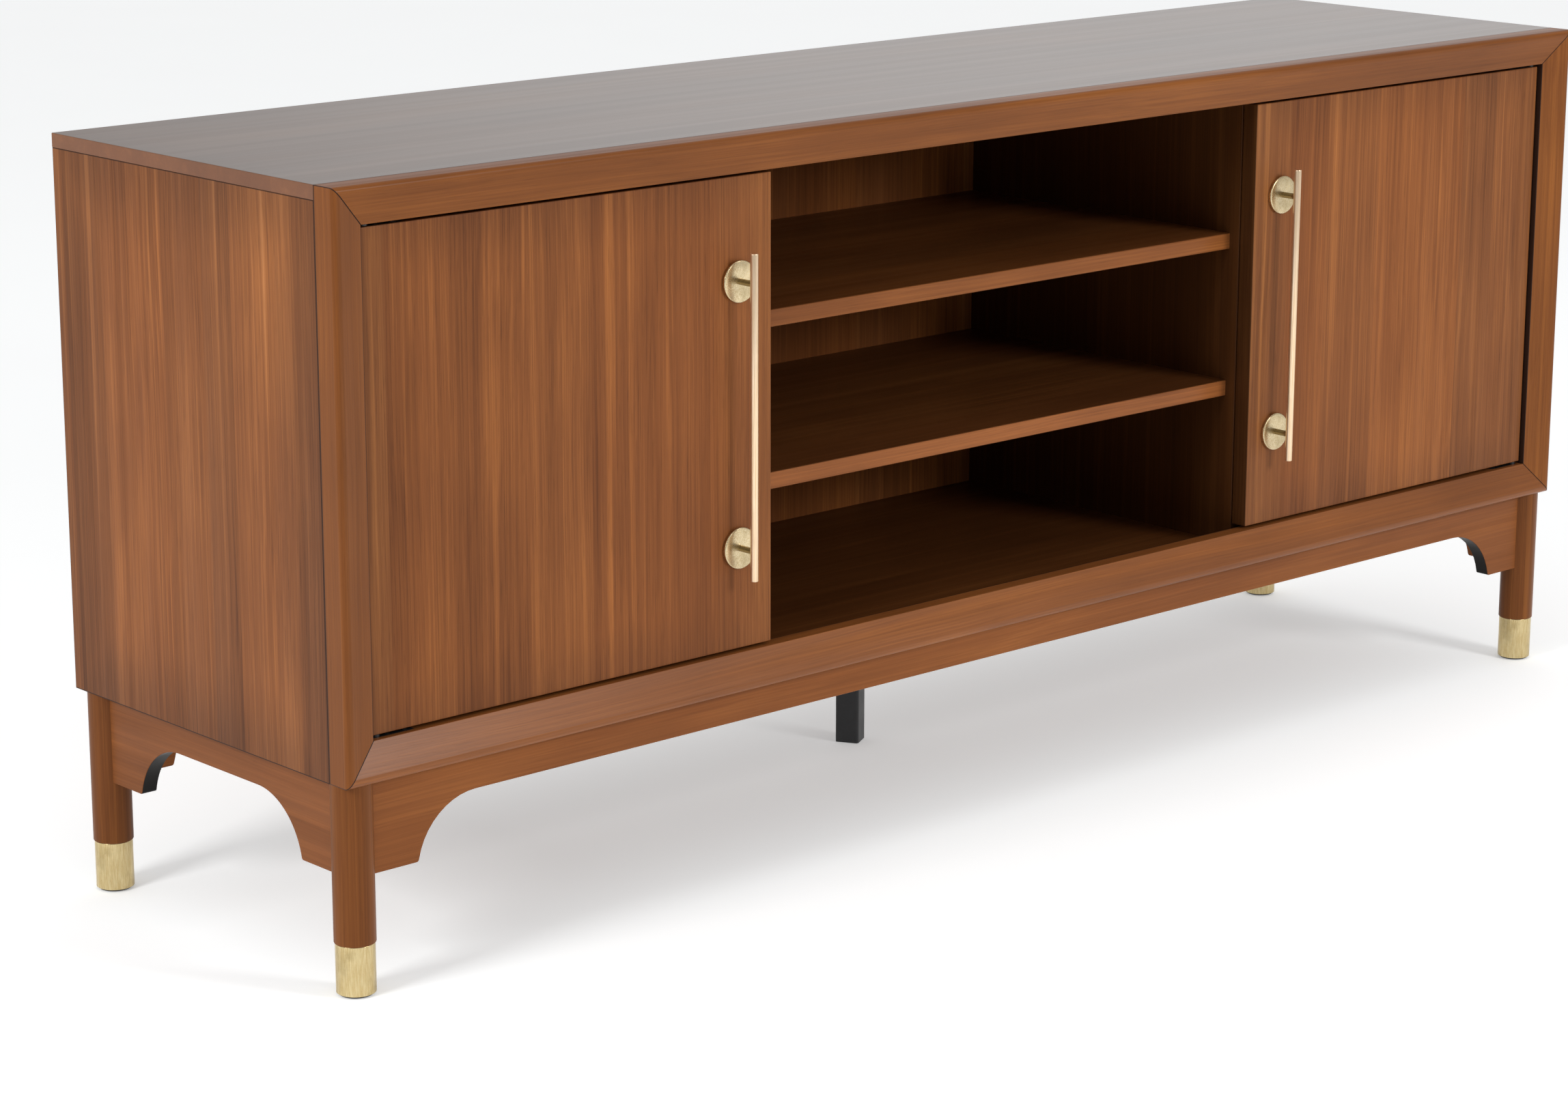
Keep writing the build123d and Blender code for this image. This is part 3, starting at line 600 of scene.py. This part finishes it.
# ---- materials of the CAD boards ----------------------------------------------------------
assign(nodes["top_panel"], wood(
    "walnut_top", "X", "Y", flitch=0.085, figure=0.22, tone=0.42, tint=(1.0, 1.15, 1.15),
    seed=0.4, edges=board_edges("top_panel"), edge_shade=0.20, sides=0.80,
    roughness=(0.34, 0.37), gloss=0.5, coat=0.6, coat_roughness=0.22, relief=0.15,
))
for i, side in enumerate(SIDES):
    panel = f"{side}_side_panel"
    assign(nodes[panel], wood(
        panel + "_walnut", "Z", "Y", flitch=0.055, figure=0.84, seed=1.3 + 2.1 * i,
        edges=board_edges(panel),
        edge_shade=0.50, edge_width=0.09, edge_line=0.7 * MM, tone=0.97, tint=(1.0, 1.02, 1.12),
    ))
    door = f"{side}_door"
    assign(nodes[door], wood(
        door + "_walnut", "Z", "X", flitch=0.075, figure=0.80, seed=5.2 + 1.7 * i,
        edges=board_edges(door),
        # sides=0.35 paints shade on the doors' four narrow sides.
        edge_shade=0.30, edge_line=0.4 * MM, sides=0.35,
    ))
    stile = f"frame_{side}_stile"
    assign(nodes[stile], wood(
        stile + "_walnut", "Z", "X", flitch=0.5, figure=0.5, seed=2.7 + i, tone=0.80,
        tint=(1.03, 0.99, 0.78), roughness=(0.30, 0.38), gloss=0.12, joints=True,
    ))
    # A tone of 0.30 paints the shade of the open bay onto the partitions.
    partition = f"{side}_partition"
    assign(nodes[partition], wood(
        partition + "_walnut", "Z", "Y", flitch=0.08, seed=3.3 + i, tone=0.30, figure=0.5,
    ))
    assign(nodes[f"{side}_cabinet_shelf"], wood(
        f"{side}_cabinet_shelf_walnut", "X", "Y", flitch=0.09, seed=4.1 + i, tone=0.8, figure=0.6,
    ))
    assign(nodes[f"{side}_apron"], wood(
        f"{side}_apron_walnut", "Y", "Z", flitch=0.5, figure=0.4, seed=6.1 + i, tone=1.06,
        tint=(1.0, 0.98, 0.94), dark_cuts="X",
    ))
# The bottom rail's higher tone and bluer tint are painted light, for the light its sloped face
# catches.
for i, place in enumerate(("top", "bottom")):
    rail = f"frame_{place}_rail"
    assign(nodes[rail], wood(
        rail + "_walnut", "X", "Z", flitch=0.5, figure=0.5, seed=7.3 + i,
        tone=0.84 + 0.20 * i, tint=(1.03, 0.99, 0.78 + 0.08 * i), roughness=(0.30, 0.38),
        gloss=0.12 + 0.10 * i, coat=0.12 * i, joints=True,
    ))
for i, end in enumerate(ENDS):
    assign(nodes[f"{end}_apron"], wood(
        f"{end}_apron_walnut", "X", "Z", flitch=0.5, figure=0.4, seed=8.6 + i, tone=1.0,
        tint=(1.0, 0.96, 0.90), dark_cuts="Y",
    ))
# Bay shelves and bottom panel: their tones, lower down the bay, are painted shade of the bay, and
# their lighter front edges are painted light.
LIT_EDGE_TONES = {"bay_upper_shelf": 0.95, "bay_lower_shelf": 1.40, "bottom_panel": 1.0}
for i, (shelf, lit_edge_tone) in enumerate(LIT_EDGE_TONES.items()):
    assign(nodes[shelf], wood(
        shelf + "_walnut", "X", "Y", flitch=0.09, seed=9.4 + i, tone=0.56 - 0.06 * i, figure=0.5,
        roughness=(0.28, 0.36), sides=lit_edge_tone,
    ))
# A tone of 1.25 paints light onto the back panel in the bay.
assign(nodes["back_panel"], wood(
    "back_panel_walnut", "Z", "X", flitch=0.09, seed=11.5, tone=1.25, figure=0.8,
))
assign(nodes["corner_blocks"], bare_wood("softwood_blocks", "X"))

zinc = coated_metal(
    "zinc_plate", (0.52, 0.52, 0.50), (0.40, 0.40, 0.40), (0.28, 0.42), metallic=1.0
)
for name in nodes:
    if "screw" in name or "bolt" in name or "strike" in name or name == "shelf_pins":
        assign(nodes[name], zinc)
black = coated_metal(
    "black_powder_coat", (0.010, 0.011, 0.012), (0.022, 0.023, 0.025), (0.34, 0.46)
)
for name in nodes:
    if name.endswith("_leaf") or name.startswith("center_leg"):
        assign(nodes[name], black)
assign(nodes["magnetic_catches"], coated_metal(
    "catch_plastic", (0.040, 0.022, 0.012), (0.06, 0.035, 0.02), (0.4, 0.55)
))

# ---- studio -------------------------------------------------------------------------------
FLOOR_SIZE = 60.0
FLOOR_GAP = 0.5 * MM               # keeps the floor clear of the glides' lower faces
floor_mesh = bmesh.new()
bmesh.ops.create_grid(floor_mesh, x_segments=4, y_segments=4, size=FLOOR_SIZE / 2)
floor_data = bpy.data.meshes.new("studio_floor")
floor_mesh.to_mesh(floor_data)
floor_mesh.free()
floor = bpy.data.objects.new("studio_floor", floor_data)
floor.location.z = -FLOOR_GAP
bpy.context.scene.collection.objects.link(floor)
floor_paint = Paint("studio_floor_white")
mottle = floor_paint.noise(floor_paint.position, scale=3.0)
floor_white = floor_paint.mix(mottle, (0.85, 0.865, 0.87), (0.87, 0.885, 0.89))
assign(floor, floor_paint.set(
    Base_Color=floor_white, Roughness=0.9, Emission_Color=(1, 1, 1, 1), Emission_Strength=0.31
))

OVERHEAD, FRONT, BACKDROP = 0.74, 0.22, 0.90
BACKDROP_WAY = (0.95, 0.30, 0.0)
world = bpy.data.worlds.new("studio")
bpy.context.scene.world = world
world.use_nodes = True
sky = world.node_tree


def sky_range(value, low, high, to_low, to_high):
    """A smooth ramp of a value of the sky."""
    node = sky.nodes.new("ShaderNodeMapRange")
    node.interpolation_type = "SMOOTHSTEP"
    for index, number in enumerate((low, high, to_low, to_high)):
        node.inputs[index + 1].default_value = number
    sky.links.new(value, node.inputs[0])
    return node.outputs[0]


# The sky is bright overhead and over the backdrop, and dim on the side of the doors.
heading = sky.nodes.new("ShaderNodeTexCoord").outputs["Generated"]
height = sky.nodes.new("ShaderNodeSeparateXYZ")
sky.links.new(heading, height.inputs[0])
overhead = sky_range(height.outputs["Z"], 0.05, 0.75, FRONT, OVERHEAD)
facing = sky.nodes.new("ShaderNodeVectorMath")
facing.operation = "DOT_PRODUCT"
sky.links.new(heading, facing.inputs[0])
facing.inputs[1].default_value = BACKDROP_WAY
backdrop = sky_range(facing.outputs["Value"], 0.55, 0.90, 0.0, BACKDROP)
brighter = sky.nodes.new("ShaderNodeMath")
brighter.operation = "MAXIMUM"
sky.links.new(overhead, brighter.inputs[0])
sky.links.new(backdrop, brighter.inputs[1])
sky.nodes["Background"].inputs["Color"].default_value = (1, 1, 1, 1)
sky.links.new(brighter.outputs[0], sky.nodes["Background"].inputs["Strength"])


def softbox(name, place, aim, size, power):
    data = bpy.data.lights.new(name, "AREA")
    data.shape = "RECTANGLE"
    data.size, data.size_y = size
    data.energy = power
    lamp = bpy.data.objects.new(name, data)
    lamp.location = place
    lamp.rotation_euler = (Vector(aim) - Vector(place)).to_track_quat("-Z", "Y").to_euler()
    bpy.context.scene.collection.objects.link(lamp)


SOFTBOX = (0.9, 1.0)
softbox("key_left", place=(-3.6, -0.3, 1.9), aim=(-0.4, 0, 0.4), size=SOFTBOX, power=58)
softbox("fill_front", place=(1.1, -3.6, 1.9), aim=(0.1, 0, 0.45), size=SOFTBOX, power=66)

CAMERA_AT = Vector((-2.9192, -3.0542, 1.3109))
CAMERA_AZIMUTH = math.radians(42.19)
CAMERA_PITCH = math.radians(14.18)
CAMERA_ROLL = math.radians(0.08)
CAMERA_LENS = 91.25
CAMERA_SENSOR = 36.0
camera_data = bpy.data.cameras.new("camera")
camera_data.sensor_width = CAMERA_SENSOR
camera_data.lens = CAMERA_LENS
camera = bpy.data.objects.new("camera", camera_data)
bpy.context.scene.collection.objects.link(camera)
camera.location = CAMERA_AT
forward = Vector((
    math.sin(CAMERA_AZIMUTH) * math.cos(CAMERA_PITCH),
    math.cos(CAMERA_AZIMUTH) * math.cos(CAMERA_PITCH),
    -math.sin(CAMERA_PITCH),
))
level = forward.to_track_quat("-Z", "Y")
camera.rotation_mode = "QUATERNION"
camera.rotation_quaternion = level @ Matrix.Rotation(CAMERA_ROLL, 3, "Z").to_quaternion()
bpy.context.scene.camera = camera

scene = bpy.context.scene
scene.view_settings.view_transform = "Standard"
scene.view_settings.look = "None"
scene.render.film_transparent = False
